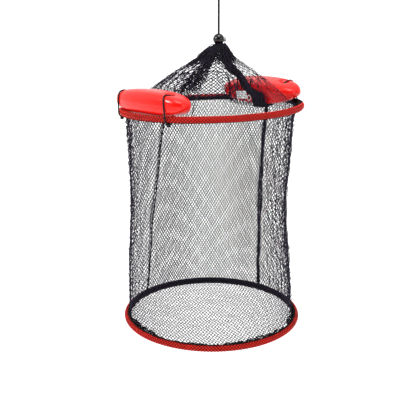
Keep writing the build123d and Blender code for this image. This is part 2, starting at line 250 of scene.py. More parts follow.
def rounded(points, closed, per_span=8):
    """A smooth line (a uniform cubic B-spline) pulled towards these points."""
    points = np.asarray(points, float)
    if closed:
        points = np.concatenate([points[-1:], points, points[:2]])
    else:
        points = np.concatenate([2 * points[:1] - points[1:2], points, 2 * points[-1:] - points[-2:-1]])
    t = np.arange(per_span)[:, None] / per_span
    weights = ((1 - t) ** 3, 3 * t**3 - 6 * t**2 + 4, -3 * t**3 + 3 * t**2 + 3 * t + 1, t**3)
    spans = [sum(w * p for w, p in zip(weights, points[i : i + 4])) / 6 for i in range(len(points) - 3)]
    if not closed:
        spans.append((points[-3] + 4 * points[-2] + points[-1])[None] / 6)
    return np.concatenate(spans)


def braid(build, path, closed, first, core, carriers, lead, yarn, weave, per_crossing=3):
    """Adds a round braid: half the yarns wind each way, over and under each other in turn.

    core is the distance of the yarns' middles from the centreline, yarn their half width and half
    thickness, and weave how far they rise and dip.
    """
    half = carriers // 2
    length = spaced(path, 3, closed)[1]
    if closed:
        lead = length / round(length / lead)
    crossings = round(length / (lead / carriers))
    count = crossings * per_crossing + (0 if closed else 1)
    path = spaced(path, count, closed)[0]
    normals, sides = carried(path, closed, first)
    run = np.arange(count) / per_crossing * (lead / carriers)
    beat = np.cos(math.pi * np.arange(count) / per_crossing)
    for way in (1, -1):
        angle = TURN * (way * run[None] / lead + np.arange(half)[:, None] / half)
        out = np.cos(angle)[..., None] * normals + np.sin(angle)[..., None] * sides
        lines = path + (core + way * weave * beat)[None, :, None] * out
        beats = ((1 - way) / 2, 1 / per_crossing)
        tubes(build, lines, out, yarn[0], yarn[1], sides=5, closed=closed, beats=beats)


def cord(build, path, closed, first, made_of, inner, steps=None, per_crossing=2):
    """Adds a braided cord round a plain core of half width inner, which may have steps of its own."""
    braid(build, path, closed, first, *made_of, per_crossing)
    core = path if steps is None else spaced(path, steps, closed)[0]
    tubes(build, core[None], carried(core, closed, first)[0][None], inner, closed=closed)


def net_tube(build, points, normals, yarn, first, last):
    """Adds the two sets of slanting yarns of a netting tube, between two of its rows of knots."""
    columns = points.shape[1]
    row = np.arange(first, last + 1)[None]
    start = np.arange(columns)[:, None]
    for column, side in (((start + row // 2) % columns, 1), ((start - (row + 1) // 2) % columns, -1)):
        out = normals[row, column]
        tubes(build, points[row, column] + side * KNOT_LIFT * out, out, yarn[row, column])


def net_panel(build, points, normals, yarn, keep=None):
    """Adds the slanting yarns of a flat piece of netting, only where keep says that there is netting."""
    keep = np.ones(points.shape[:2], bool) if keep is None else keep
    rows, columns = keep.shape
    for way in (1, -1):
        for start in range(-rows, columns + rows):
            row = np.arange(rows)
            column = start + row // 2 if way == 1 else start - (row + 1) // 2
            inside = (column >= 0) & (column < columns)
            row, column = row[inside], column[inside]
            edges = np.flatnonzero(np.diff(np.concatenate([[0], keep[row, column].astype(int), [0]])))
            for low, high in zip(edges[::2], edges[1::2]):
                if high - low > 1:
                    line = points[row[low:high], column[low:high]]
                    normal = normals[row[low:high], column[low:high]]
                    tubes(build, (line + way * KNOT_LIFT * normal)[None], normal[None], yarn)


# ---- materials
class Shader:
    """The node tree of a material or world, with short calls for the nodes that this scene uses."""

    def __init__(self, owner, surface):
        owner.use_nodes = True
        self.tree = owner.node_tree
        self.surface = self.tree.nodes[surface]

    def node(self, kind, inputs=(), **settings):
        made = self.tree.nodes.new(kind)
        for key, value in settings.items():
            setattr(made, key, value)
        for key, value in dict(inputs).items():
            if isinstance(value, bpy.types.NodeSocket):
                self.tree.links.new(value, made.inputs[key])
            else:
                made.inputs[key].default_value = value
        return made

    def place(self, name="Object"):
        return self.node("ShaderNodeTexCoord").outputs[name]

    def stretched(self, vector, scale):
        return self.node("ShaderNodeMapping", {"Vector": vector, "Scale": scale}).outputs["Vector"]

    def noise(self, vector, scale, detail=3.0):
        found = self.node("ShaderNodeTexNoise", {"Vector": vector, "Scale": scale, "Detail": detail})
        return found.outputs["Fac"]

    def math(self, operation, a, b=0.0):
        return self.node("ShaderNodeMath", {0: a, 1: b}, operation=operation).outputs[0]

    def ramp(self, value, *stops):
        made = self.node("ShaderNodeValToRGB", {"Fac": value})
        elements = made.color_ramp.elements
        while len(elements) < len(stops):
            elements.new(0.5)
        for element, (position, colour) in zip(elements, stops):
            element.position = position
            element.color = (*colour, 1.0)
        return made.outputs["Color"]

    def set(self, key, value):
        self.tree.links.new(value, self.surface.inputs[key])


class Look(Shader):
    """A material, with the values that are the same all over it."""

    def __init__(self, name, **values):
        self.material = bpy.data.materials.new(name)
        super().__init__(self.material, "Principled BSDF")
        for key, value in values.items():
            self.surface.inputs[key.replace("_", " ")].default_value = value

    def bump(self, height, strength, distance):
        made = self.node("ShaderNodeBump", {"Height": height, "Strength": strength, "Distance": distance})
        self.set("Normal", made.outputs["Normal"])


def yarn_look(name, dark, light, roughness, filament, gloss):
    """Twisted or braided yarn: fine filaments along it, and slow changes of shade."""
    look = Look(name, Roughness=roughness, Sheen_Roughness=0.4, Specular_IOR_Level=gloss)
    fibres = look.noise(look.stretched(look.place("UV"), (filament, 0.35, 1.0)), 6.0, 2.0)
    shade = look.noise(look.place(), 90.0, 3.0)
    both = look.math("ADD", look.math("MULTIPLY", fibres, 0.6), look.math("MULTIPLY", shade, 0.4))
    look.set("Base Color", look.ramp(both, (0.32, dark), (0.68, light)))
    look.bump(fibres, 0.35, 0.0001)
    return look.material


net_look = yarn_look("black_netting", (0.005, 0.0035, 0.009), (0.024, 0.015, 0.040), 0.6, 4.0, 0.10)
# the netting's own yarn made darker where it is bunched, folded and packed: painted shade
shaded_fold_look = yarn_look("packed_netting_shaded", (0.002, 0.002, 0.003), (0.009, 0.008, 0.012), 0.6, 4.0, 0.10)
hem_look = yarn_look("black_hem", (0.002, 0.002, 0.003), (0.009, 0.009, 0.011), 0.8, 6.0, 0.12)
cord_look = yarn_look("black_cord", (0.003, 0.003, 0.004), (0.016, 0.016, 0.018), 0.55, 8.0, 0.25)


def braid_look():
    """Red braid with painted light and shade: a painted highlight along the crown of each yarn and where it
    rises over its neighbours, and painted shade where it dips under them.
    """
    look = Look("red_braid", Roughness=0.42, Specular_IOR_Level=0.12)
    place = look.place("UV")
    parts = look.node("ShaderNodeSeparateXYZ", {"Vector": place}).outputs
    fibres = look.noise(look.stretched(place, (10.0, 1.0, 1.0)), 6.0, 2.0)
    # painted highlight: lighter along the middle of each yarn's outer face
    off = look.math("ABSOLUTE", look.math("SUBTRACT", parts["X"], 0.14))
    crown = look.math("SUBTRACT", 0.62, look.math("MULTIPLY", off, 3.0))
    # painted light and shade: lighter where a yarn rises over its neighbours, darker where it dips under them
    rise = look.math("COSINE", look.math("MULTIPLY", parts["Y"], math.pi))
    patch = look.math("MULTIPLY", look.math("SUBTRACT", look.noise(look.place(), 40.0, 3.0), 0.5), 0.5)
    grain = look.math("MULTIPLY", look.math("SUBTRACT", fibres, 0.5), 0.3)
    both = look.math("ADD", crown, look.math("MULTIPLY", rise, 0.75))
    both = look.math("ADD", both, look.math("ADD", grain, patch))
    # the ramp runs from painted shade, nearly black, through the braid's red to a painted highlight
    stops = ((0.22, (0.008, 0.0005, 0.0005)), (0.62, (0.24, 0.003, 0.003)), (1.0, (0.86, 0.022, 0.012)))
    look.set("Base Color", look.ramp(both, *stops))
    look.bump(fibres, 0.35, 0.0001)
    return look.material


red_look = braid_look()


def plastic_look(name, colour, roughness, grain, depth, gloss=0.5):
    """Moulded plastic: faint unevenness of colour, gloss and surface."""
    look = Look(name, Coat_Roughness=0.08, Specular_IOR_Level=gloss)
    patch = look.noise(look.place(), grain, 3.0)
    darker = tuple(c * 0.86 for c in colour)
    look.set("Base Color", look.ramp(patch, (0.35, darker), (0.65, colour)))
    fine = look.noise(look.place(), grain * 9, 2.0)
    span = look.math("MULTIPLY_ADD", fine, roughness * 0.5)
    span.node.inputs[2].default_value = roughness * 0.75
    look.set("Roughness", span)
    look.bump(patch, 0.25, depth)
    return look.material


float_look = plastic_look("float_plastic", (0.92, 0.006, 0.002), 0.22, 60.0, 0.0003, 0.4)
lock_look = plastic_look("lock_plastic", (0.003, 0.003, 0.004), 0.08, 300.0, 0.00002)
button_look = plastic_look("button_plastic", (0.42, 0.43, 0.45), 0.3, 400.0, 0.00005)
ring_look = plastic_look("ring_plastic", (0.80, 0.80, 0.79), 0.4, 400.0, 0.00005)
# the hoop core is nearly black so the gaps between the braid's yarns read dark: painted shade
core_shade_look = plastic_look("hoop_core", (0.012, 0.001, 0.001), 0.9, 500.0, 0.0002)


def metal_look(name, colour, roughness):
    """Drawn steel with fine streaks."""
    look = Look(name, Metallic=1.0)
    streaks = look.noise(look.stretched(look.place(), (900.0, 900.0, 60.0)), 1.0, 3.0)
    look.set("Base Color", look.ramp(streaks, (0.3, tuple(c * 0.8 for c in colour)), (0.7, colour)))
    look.set("Roughness", look.math("ADD", look.math("MULTIPLY", streaks, 0.2), roughness))
    return look.material


wire_look = metal_look("spring_steel", (0.55, 0.55, 0.56), 0.25)
ferrule_look = metal_look("ferrule_steel", (0.62, 0.62, 0.61), 0.35)


def label_cloth():
    """White woven ribbon: crossing threads, and a few bands across it; the white is greyed by painted shade
    between the threads and in the troughs between the bands.
    """
    look = Look("label_cloth", Roughness=0.7, Sheen_Weight=0.2)
    place = look.place("UV")

    def stripes(direction, scale, distortion):
        inputs = {"Vector": place, "Scale": scale, "Distortion": distortion}
        return look.node("ShaderNodeTexWave", inputs, bands_direction=direction).outputs["Fac"]

    weave = look.math("MULTIPLY", stripes("X", 0.75, 0.4), stripes("Y", 0.75, 0.4))
    bands = look.math("MULTIPLY", stripes("Y", 0.11, 0.0), 0.7)
    # painted shade and light: greyer between the crossing threads and between the bands, whitest on the
    # bands' crests
    shade = look.math("ADD", look.math("MULTIPLY", weave, 0.3), bands)
    look.set("Base Color", look.ramp(shade, (0.15, (0.50, 0.49, 0.50)), (0.6, (0.86, 0.85, 0.86))))
    look.bump(weave, 0.5, 0.0002)
    return look.material


label_look = label_cloth()

# ---- camera
CAMERA_AT = (-9.5 * MM, -935.4 * MM, -88.8 * MM)
CAMERA_DROP = math.radians(14.58)  # how far it looks down
CAMERA_SENSOR, CAMERA_LENS = 36.0, 59.33942  # in millimetres
CAMERA_SHIFT = -0.00841346  # share of the view's width that the trap stands to the right by

camera = linked("camera", bpy.data.cameras.new("camera"))
camera.data.sensor_width, camera.data.lens, camera.data.shift_x = CAMERA_SENSOR, CAMERA_LENS, CAMERA_SHIFT
camera.data.clip_start, camera.data.clip_end = 0.05, 30.0
camera.location = CAMERA_AT
camera.rotation_euler = (math.pi / 2 - CAMERA_DROP, 0.0, 0.0)
bpy.context.scene.camera = camera

# ---- haul cord
CORD_ROUTE = (
    # the route's corners in millimetres, from the drawn mouth to the knot that closes the hanging loop
    (0, 0, -111),
    (0, 0, -61),
    (0, 0, -43),
    (6.6, 0.5, -31.5),
    (11.2, 0.8, -19.5),
    (11.8, 0.6, -9),
    (8.3, 0.3, -0.9),
    (0, 0, 2.3),
    (-8.3, -0.3, -0.9),
    (-11.8, -0.9, -9),
    (-11.0, -1.6, -19.5),
    (-6.6, -2.8, -31),
    (-1.2, -3.6, -41.5),
)


def nurbs_line(points):
    """Points along the smooth line that a NURBS curve draws from its control points."""
    curve = bpy.data.curves.new("route", "CURVE")
    curve.dimensions = "3D"
    spline = curve.splines.new("NURBS")
    spline.points.add(len(points) - 1)
    for control, point in zip(spline.points, points):
        control.co = (*(c * MM for c in point), 1.0)
    spline.order_u = 3
    spline.use_endpoint_u = True
    spline.resolution_u = 12
    holder = linked("route", curve)
    shape = bpy.data.meshes.new_from_object(holder)
    line = np.array([v.co for v in shape.vertices])
    bpy.data.objects.remove(holder)
    return line


# a cord's braid: distance of its yarns from the middle, their number, the length of one turn, their half
# width and half thickness, and how far they rise and dip
HAUL_BRAID = (1.12 * MM, 16, 13 * MM, (0.36 * MM, 0.26 * MM), 0.13 * MM)
CORE_STEPS = 160

cord_line = nurbs_line(CORD_ROUTE)
cord_length = spaced(cord_line, 3)[1]
haul = Build()
cord(haul, cord_line, False, (1, 0, 0), HAUL_BRAID, 1.1 * MM, CORE_STEPS, per_crossing=3)
haul_cord = haul.piece("haul_cord_braid", cord_look, "haul_line", "black_cord", ["haul_cord"])

KNOT_TURNS, KNOT_PITCH, KNOT_RADIUS = 3.1, 2.9 * MM, 3.0 * MM
knot_centre = sum(np.array(c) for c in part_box("haul_knot")) / 2
turn = np.linspace(-0.5, 0.5, 90) * KNOT_TURNS
reach = KNOT_RADIUS + 0.3 * MM * np.cos(TURN * turn / 2)
coil = [reach * np.cos(TURN * turn), reach * np.sin(TURN * turn), KNOT_PITCH * turn]
coil = knot_centre + np.stack(coil, axis=-1)
ends = knot_centre + np.array([(-1.2, 0.4, -2.4), (0.8, 1.0, 3.0)]) * MM
coil = np.concatenate([ends[:1], coil, ends[1:]])
tail = knot_centre + np.array([(-1.5, 0.5, -2.0), (-3.0, 1.6, -5.0), (-3.4, 2.2, -8.5)]) * MM
tail, _ = spaced(rounded(tail, False), 20)
knot = Build()
cord(knot, coil, False, (0, 0, 1), HAUL_BRAID, 1.1 * MM, 120)
cord(knot, tail, False, (1, 0, 0), HAUL_BRAID, 1.15 * MM)
haul_knot = knot.piece("haul_knot_turns", cord_look, "haul_line", "black_cord", ["haul_knot"])

[tuple(p) for p in spaced(cord_line, CORE_STEPS)[0]]

# ---- braided hoops
HOOP_BRAID = (3.35 * MM, 12, 25.2 * MM, (0.95 * MM, 0.50 * MM), 0.50 * MM)
for hoop, name in ((top, "top_hoop"), (bottom, "bottom_hoop")):
    circle = hoop.at(np.linspace(0, TURN, 1440, endpoint=False), hoop.radius, 0.0)
    cover = Build()
    braid(cover, circle, True, hoop.x, *HOOP_BRAID)
    cover.piece(f"{name}_braid", red_look, name, "red_braid", [f"{name}_sleeve"])

# ---- hems: netting rolled and bound to the hoops
HEM_STEPS, STITCH_PITCH = 900, 1.15 * MM
# azimuth, then the section angle where the black hem begins on top of the tube
TOP_HEM_FROM = (
    (0, 62), (25, 105), (50, 150), (90, 168), (120, 160),
    (160, 120), (180, 105), (215, 140), (270, 160), (335, 125),
)  # fmt: skip
BOTTOM_HEM_FROM = ((0, 102), (35, 80), (90, 58), (145, 80), (180, 104), (225, 96), (270, 88), (315, 94))


def hem(hoop, name, begins, ends, thick):
    """Rolled netting over the inner side of a hoop's tube, under a row of binding turns."""
    azimuth = np.linspace(0, TURN, HEM_STEPS, endpoint=False)
    start = np.radians(around(begins, azimuth))
    start = start + 0.10 * ripple((1, 37 * azimuth), (0.8, 61 * azimuth + 1), (0.8, 143 * azimuth))
    end = math.radians(ends) + 0.12 * ripple((1, 41 * azimuth), (0.7, 97 * azimuth + 2))
    shares = np.linspace(0, 1, 12)
    rough = random.normal(0, 0.16, (len(shares), HEM_STEPS)) * MM
    rows = []
    for share, noise in zip(shares, rough):
        angle = start + (end - start) * share
        swell = thick * math.sin(math.pi * min(max(share, 0.02), 0.98)) ** 0.6
        lumps = 1 + 0.22 * ripple((1, 53 * azimuth + 3 * share), (1, 118 * azimuth + 5 * share))
        rows.append(hoop.section(azimuth, angle, hoop.tube + 0.15 * MM + swell * lumps + noise))
    for share in shares[::-4]:
        rows.append(hoop.section(azimuth, start + (end - start) * share, hoop.tube - 0.5 * MM))
    roll = Build()
    grid(roll, np.stack(rows), wrap_u=True, wrap_v=True)

    stitches = round(TURN * hoop.radius / STITCH_PITCH)
    azimuth = np.linspace(0, TURN, stitches, endpoint=False) + random.normal(0, 0.0015, stitches)
    begin = np.radians(around(begins, azimuth) - 6 + random.normal(0, 6, stitches))
    finish = np.radians(ends + 4 + random.normal(0, 7, stitches))
    shares = np.linspace(0, 1, 9)
    angle = begin[:, None] + (finish - begin)[:, None] * shares
    swell = thick * np.sin(math.pi * np.clip(shares, 0.02, 0.98)) ** 0.6
    lean = azimuth[:, None] + (shares - 0.5) * random.normal(0.012, 0.012, stitches)[:, None]
    lines = hoop.section(lean, angle, hoop.tube + 0.2 * MM + swell)
    tubes(roll, lines, hoop.section_normal(lean, angle), 0.42 * MM, 0.3 * MM, sides=4)
    roll.piece(f"{name}_hem", hem_look, name, "black_thread", [f"{name}_whipping"])


hem(top, "top_hoop", TOP_HEM_FROM, 285.0, 0.35 * MM)
hem(bottom, "bottom_hoop", BOTTOM_HEM_FROM, 238.0, 0.8 * MM)

# ---- netting
YARN = 0.415 * MM  # from the middle of the netting's square yarn to its edges
BACK_EXTRA = 0.45  # share that the yarn is fuller at the back and finer at the front, so one layer stands out
KNOT_LIFT = 0.2 * MM  # the two yarns of a crossing lie this far each side of its middle
CELL_WIDTH, CELL_HEIGHT = 4.1 * MM, 6.7 * MM
NET_RADIUS = 113.4 * MM  # distance from the axis at which the tube's cells have that width

# How the tube's cells crowd round it or stand further apart: azimuth, width, share of cells more or fewer.
CROWDING = ((0, 42, -0.45), (-3, 9, 0.45), (180, 42, -0.52), (182, 9, 0.25), (45, 5, 0.3))
azimuths = np.linspace(0, TURN, 3601)
density = 1 + sum(extra * hill(azimuths, centre, width) for centre, width, extra in CROWDING)
cells_to = np.concatenate([[0], np.cumsum((density[1:] + density[:-1]) / 2) * (azimuths[1] - azimuths[0])])
NET_COLUMNS = round(cells_to[-1] * NET_RADIUS / CELL_WIDTH)
cells_to *= NET_COLUMNS / cells_to[-1]


def column_azimuth(column):
    """Azimuth of a column of cells, which are not spaced evenly."""
    return np.interp(column % NET_COLUMNS, cells_to, azimuths) + TURN * np.floor(column / NET_COLUMNS)


def gathered(azimuth, share, lines):
    """Draws columns together along fold lines. Returns their new azimuths and how far the folds stand out."""
    proud = np.zeros_like(azimuth)
    for middles, at, pulls, width, rise in lines:
        strength = np.interp(share, at, pulls)
        width = math.radians(width)
        off = wrapped(azimuth - np.radians(np.interp(share, at, middles)))
        azimuth = azimuth - strength * off * bell(off / width)
        proud = proud + rise * bell(off / width / 0.6) * strength
    return azimuth, proud


# Distance of the tube's netting from its axis, from the top hem to the bottom one.
PROFILE_AT = (0.0, 0.045, 0.2, 0.4, 0.55, 0.72, 0.87, 1.0)
PROFILES = {
    "right": (115.6, 109.6, 106.6, 101.6, 103.6, 109.4, 113.0, 115.0),
    "left": (115.6, 115.4, 114.6, 112.8, 113.6, 115.4, 115.4, 116.2),
    "middle": (115.6, 112.4, 110.0, 108.6, 108.8, 110.2, 112.6, 116.2),
}
SEAM_AT = (0, 0.15, 0.36, 0.6, 1)
SEAM_RIGHT, SEAM_LEFT = (43, 44, 45.5, 47, 50), (126, 132, 138, 146, 149)  # azimuths, from the top down
# fold lines: azimuths, the shares of the way down where they apply, how hard each pulls, its width and height
SIDE_FOLDS = (
    (SEAM_RIGHT, SEAM_AT, (0.86, 0.87, 0.88, 0.89, 0.9), 4.5, -2.2),
    (SEAM_LEFT, SEAM_AT, (0.6, 0.62, 0.65, 0.7, 0.7), 3.2, -1.6),
    ((-31, -30, -20, -16), (0, 0.1, 0.3, 0.45), (0.85, 0.85, 0.7, 0), 4, 2.5),
    ((-14, -22, -30), (0.4, 0.55, 0.75), (0.6, 0.75, 0), 5, 2.2),
    ((196, 207, 204, 200), (0, 0.06, 0.14, 0.3), (0.5, 0.85, 0.7, 0), 5, 2.5),
    ((192, 186), (0.1, 0.6), (0.7, 0.3), 4, -2.5),
)
HEM_GAP = 3.2 * MM  # from a hoop's plane to the tube's edge
tube_ends = ((top, -HEM_GAP), (bottom, HEM_GAP))


def side_surface(column, share):
    """Points of the netting tube, and the direction out of it, at a column and a share of the way down."""
    azimuth, fold = gathered(column_azimuth(column), share, SIDE_FOLDS)
    right, left = np.maximum(np.cos(azimuth), 0) ** 2, np.maximum(-np.cos(azimuth), 0) ** 2
    weights = {"right": right, "left": left, "middle": 1 - right - left}
    radius = sum(weights[k] * np.interp(share, PROFILE_AT, PROFILES[k]) for k in PROFILES)
    ends = np.clip(np.minimum(share, 1 - share) / 0.06, 0, 1)
    crumple = 0.25 + 2.0 * hill(azimuth, 184, 20) * np.interp(share, (0, 0.35, 1), (1, 0.45, 0.4))
    crumple = crumple + 1.7 * hill(azimuth, 4, 24) + 0.5 * hill(azimuth, 34, 14)
    waves = ripple(
        (0.55, 61 * azimuth + 9 * share),
        (0.5, 97 * azimuth - 23 * share + 1),
        (0.4, 37 * azimuth + 31 * share + 2),
        (0.35, 151 * azimuth + 47 * share),
    )
    radius = radius + ends * (fold + crumple * waves)
    bow = ripple((0.9, 3 * azimuth + 5 * share), (0.6, 5 * azimuth - 4 * share + 2))
    radius = (radius + ends * bow) * MM
    slip = 0.008 * ends * crumple * ripple((1, 71 * share + 9 * azimuth), (0.8, 43 * share - 21 * azimuth))
    azimuth = azimuth + slip / 2
    upper, lower = (hoop.at(azimuth, radius, gap) for hoop, gap in tube_ends)
    share = share[..., None]
    return upper * (1 - share) + lower * share, top.outward(azimuth), crumple * ends


side_height = (top.centre - bottom.centre)[2] - 2 * HEM_GAP
SIDE_ROWS = 2 * round(side_height / CELL_HEIGHT)


def lattice(rows, columns):
    """Column and share of the way down of each knot, every second row half a cell aside."""
    row = np.arange(rows + 1)[:, None]
    return np.arange(columns)[None] + 0.5 * (row % 2), np.broadcast_to(row / rows, (rows + 1, columns))


column, share = lattice(SIDE_ROWS, NET_COLUMNS)
points, outward, loose = side_surface(column, share)
jitter = random.normal(0, 1, points.shape) * (0.10 + 0.30 * loose[..., None]) * MM
jitter[(0, -1), :] = 0
points = points + jitter
yarn = YARN * (1 + BACK_EXTRA * outward[..., 1])
side_pieces = []
half = SIDE_ROWS // 2
for name, first, last, stands in (("upper", 0, half, ["side_net"]), ("lower", half, SIDE_ROWS, [])):
    panel = Build()
    net_tube(panel, points, outward, yarn, first, last)
    side_pieces.append(panel.piece(f"side_net_{name}", net_look, "top_hoop", "black_netting", stands))


SEAM_INSET = 2.0 * MM  # the seams lie this far inside the netting


def seam(side, azimuths, radius, threads):
    """The rolled seam of the netting tube: threads wound round the line where its edges meet."""
    count = 150
    share = np.linspace(0, 1, count)
    r = np.interp(share, PROFILE_AT, PROFILES["middle"]) * MM - SEAM_INSET
    waver = ripple((0.006, 9 * share), (0.004, 31 * share + 1))
    a = np.radians(np.interp(share, SEAM_AT, azimuths)) + waver
    upper, lower = (hoop.at(a, r, gap) for hoop, gap in tube_ends)
    base = upper * (1 - share[:, None]) + lower * share[:, None]
    out = np.broadcast_to(top.outward(math.radians(azimuths[2])), base.shape)
    normals, sides = carried(base, False, out[0])
    rope = Build()
    for k in range(threads):
        wave = np.cumsum(random.normal(0, 0.10, count))
        angle = TURN * (k / threads + share * (9 + 2 * (k % 3)) * (1 if k % 2 else -1)) + wave
        reach = radius * (0.55 + 0.45 * np.abs(np.sin(23 * share + 2.1 * k + wave)))
        line = base + reach[:, None] * (np.cos(angle)[:, None] * normals + np.sin(angle)[:, None] * sides)
        tubes(rope, line[None], out[None], 0.33 * MM)
    tubes(rope, base[None], out[None], 0.7 * MM, 0.5 * MM)
    return rope.piece(f"seam_{side}_roll", hem_look, "top_hoop", "black_thread", [f"seam_{side}"])


seams = [seam("right", SEAM_RIGHT, 2.3 * MM, 11), seam("left", SEAM_LEFT, 0.9 * MM, 5)]

# ---- floor netting
FLOOR_TURN = math.radians(5.0)
FLOOR_SAG = 3.0 * MM
FLOOR_SPARE = 16 * MM  # netting laid out past the rim before it is cut
floor_rim = bottom.radius - 4.6 * MM
FLOOR_CELL = (5.0 * MM, 10.0 * MM)
floor_rows = 2 * math.ceil((2 * floor_rim + FLOOR_SPARE) / FLOOR_CELL[1])
floor_columns = math.ceil((2 * floor_rim + FLOOR_SPARE) / FLOOR_CELL[0])
column, share = lattice(floor_rows, floor_columns)
flat_x = (column - floor_columns / 2) * FLOOR_CELL[0]
flat_y = (share - 0.5) * floor_rows / 2 * FLOOR_CELL[1]
bend = ripple((1.2, 26 * flat_x + 19 * flat_y), (0.9, 41 * flat_y - 22 * flat_x + 1)) * MM
flat_x, flat_y = flat_x + bend, flat_y + 0.6 * bend
x = flat_x * math.cos(FLOOR_TURN) - flat_y * math.sin(FLOOR_TURN)
y = flat_x * math.sin(FLOOR_TURN) + flat_y * math.cos(FLOOR_TURN)
distance, azimuth = np.hypot(x, y), np.arctan2(y, x)
keep = distance < floor_rim + 3.2 * MM
distance = np.minimum(distance, floor_rim)
dish = 1 - (distance / floor_rim) ** 2
crease = 1.6 * bell((x + 0.55 * y - 0.035) / 0.006) * np.clip(-y / 0.05, 0, 1)
crease = crease + 1.2 * bell((y - 0.03) / 0.004) * np.clip((-x - 0.05) / 0.03, 0, 1)
lumps = 0.5 * ripple((1, 60 * x + 31 * y), (1, 85 * y - 40 * x), (0.7, 160 * x + 90 * y)) * dish
rise = -FLOOR_SAG * dish + (crease * dish + lumps) * MM
points = bottom.at(azimuth, distance, rise) + random.normal(0, 0.12 * MM, (*x.shape, 3))
normals = np.broadcast_to(bottom.z, points.shape)
floor = Build()
net_panel(floor, points, normals, YARN * 0.88, keep)
floor_net = floor.piece("floor_net", net_look, "bottom_hoop", "black_netting", ["bottom_net"])

# Spare netting bunched along the inside of the bottom hoop: from azimuth, to azimuth, width.
RUFFLES = ((196, 238, 9), (244, 268, 5), (272, 330, 10), (336, 352, 5), (150, 178, 4), (8, 40, 4))


def ruffle(build, begin, end, width):
    """A strip of slack netting folded over itself against the hem."""
    rows = 7
    columns = math.ceil(math.radians(end - begin) * 110 * MM / CELL_WIDTH * 1.35)
    column, share = lattice(rows, columns)
    place = np.clip(column / columns, 0, 1)
    azimuth = math.radians(begin) + place * math.radians(end - begin)
    swell = np.sin(math.pi * place) ** 0.5 * (0.7 + 0.3 * np.sin(31 * azimuth) * np.sin(13 * azimuth + 1))
    reach = width * swell * (1 - np.cos(2 * math.pi * np.abs(share - 0.5))) / 2
    lift = 2.6 * swell * np.sin(math.pi * share) + 1.2 * swell * np.sin(67 * azimuth + 5 * share)
    azimuth = azimuth + 0.012 * np.sin(53 * azimuth + 7 * share)
    points = bottom.at(azimuth, bottom.radius - (5.2 + reach) * MM, (1.0 + lift) * MM)
    points = points + random.normal(0, 0.7 * MM, points.shape)
    normals = np.broadcast_to(bottom.z, points.shape)
    net_panel(build, points, normals, YARN * 0.85)


spare = Build()
for begin, end, width in RUFFLES:
    ruffle(spare, begin, end, width)
floor_ruffle = spare.piece("floor_ruffle", shaded_fold_look, "bottom_hoop", "black_netting")

# ---- netting cone
CONE_PROFILE = (
    # rise above the top hoop, distance from the cone's axis, share of its lean towards the cord
    (1.0, 114.4, 0.0),
    (8.0, 103.0, 0.05),
    (28.0, 78.0, 0.2),
    (50.0, 47.5, 0.4),
    (61.0, 29.0, 0.55),
    (66.0, 22.0, 0.62),
    (70.5, 17.0, 0.7),
    (75.5, 12.5, 0.8),
    (79.5, 8.5, 0.9),
    (82.6, 5.0, 1.0),
)
FLOAT_AXIS = 38.6  # azimuth that both floats lie across
FLAT_WALL = 65.4  # the floats press the netting in to this distance from the axis
FLAT_HALF = 58.0  # half the length of that flat stretch
LEDGE = -5.0  # rise of the netting that passes under a float
CONE_LEAN = float(-top.centre @ top.x) / MM  # from the hoop's axis to the cord

cone_rise, cone_radius, cone_lean = (np.array(c, float) for c in zip(*CONE_PROFILE))


def cone_place(azimuth, radius, rise):
    """Points of the cone, which leans towards the cord as it rises."""
    lean = np.interp(rise, cone_rise, cone_lean) * CONE_LEAN
    return top.at(azimuth, radius * MM, rise * MM) + (lean * MM)[..., None] * top.x


def soft_least(a, b, blend):
    """The lesser of two lengths, rounded where they are close."""
    near = np.clip(0.5 + (b - a) / (2 * blend), 0, 1)
    return b * (1 - near) + a * near - blend * near * (1 - near)


TABLE_AZIMUTHS, TABLE_STEPS = 720, 160
table_azimuth = np.linspace(0, TURN, TABLE_AZIMUTHS, endpoint=False)
table = np.zeros((TABLE_AZIMUTHS, TABLE_STEPS + 1, 2))
for i, azimuth in enumerate(table_azimuth):
    rises = np.linspace(LEDGE, cone_rise[-1], 240)
    cone = np.interp(rises, cone_rise, cone_radius)
    turned = azimuth - math.radians(FLOAT_AXIS)
    past_end = max(0.0, abs(cone_radius[0] * math.sin(turned)) - FLAT_HALF)
    wall = FLAT_WALL / max(abs(math.cos(turned)), 1e-3) + 0.16 * past_end**2
    pressed = wall < cone_radius[0] - 2
    reach = soft_least(cone, np.full_like(cone, wall), 6.0) if pressed else cone
    line = np.stack([reach, rises], axis=-1)
    if pressed:
        shelf = np.linspace(cone_radius[0], reach[0], 40, endpoint=False)
        line = np.concatenate([np.stack([shelf, np.full(40, LEDGE)], axis=-1), line])
    else:
        line = line[rises >= cone_rise[0]]
    line = np.concatenate([[(cone_radius[0], 0.0)], line])
    table[i] = spaced(line, TABLE_STEPS + 1)[0]
for _ in range(40):  # rounds the step where the flat walls begin
    table = (np.roll(table, 1, 0) + 2 * table + np.roll(table, -1, 0)) / 4


def cone_line(azimuth, share):
    """Distance from the axis and rise of the cone's netting, from the table."""
    a = (azimuth % TURN) / TURN * TABLE_AZIMUTHS
    s = np.clip(share, 0, 1) * TABLE_STEPS
    a0, s0 = np.floor(a).astype(int), np.minimum(np.floor(s).astype(int), TABLE_STEPS - 1)
    fa, fs = (a - a0)[..., None], (s - s0)[..., None]
    a1 = (a0 + 1) % TABLE_AZIMUTHS
    a0 = a0 % TABLE_AZIMUTHS
    low = table[a0, s0] * (1 - fs) + table[a0, s0 + 1] * fs
    high = table[a1, s0] * (1 - fs) + table[a1, s0 + 1] * fs
    both = low * (1 - fa) + high * fa
    return both[..., 0], both[..., 1]


CONE_FOLDS = (
    ((14, 27, 59, 64), (0, 0.4, 0.56, 1), (0.2, 0.5, 0.7, 0.7), 17, -1.5),
    ((117, 108, 103), (0, 0.5, 1), (0.2, 0.6, 0.6), 17, -1.5),
)
PLEATS = 31


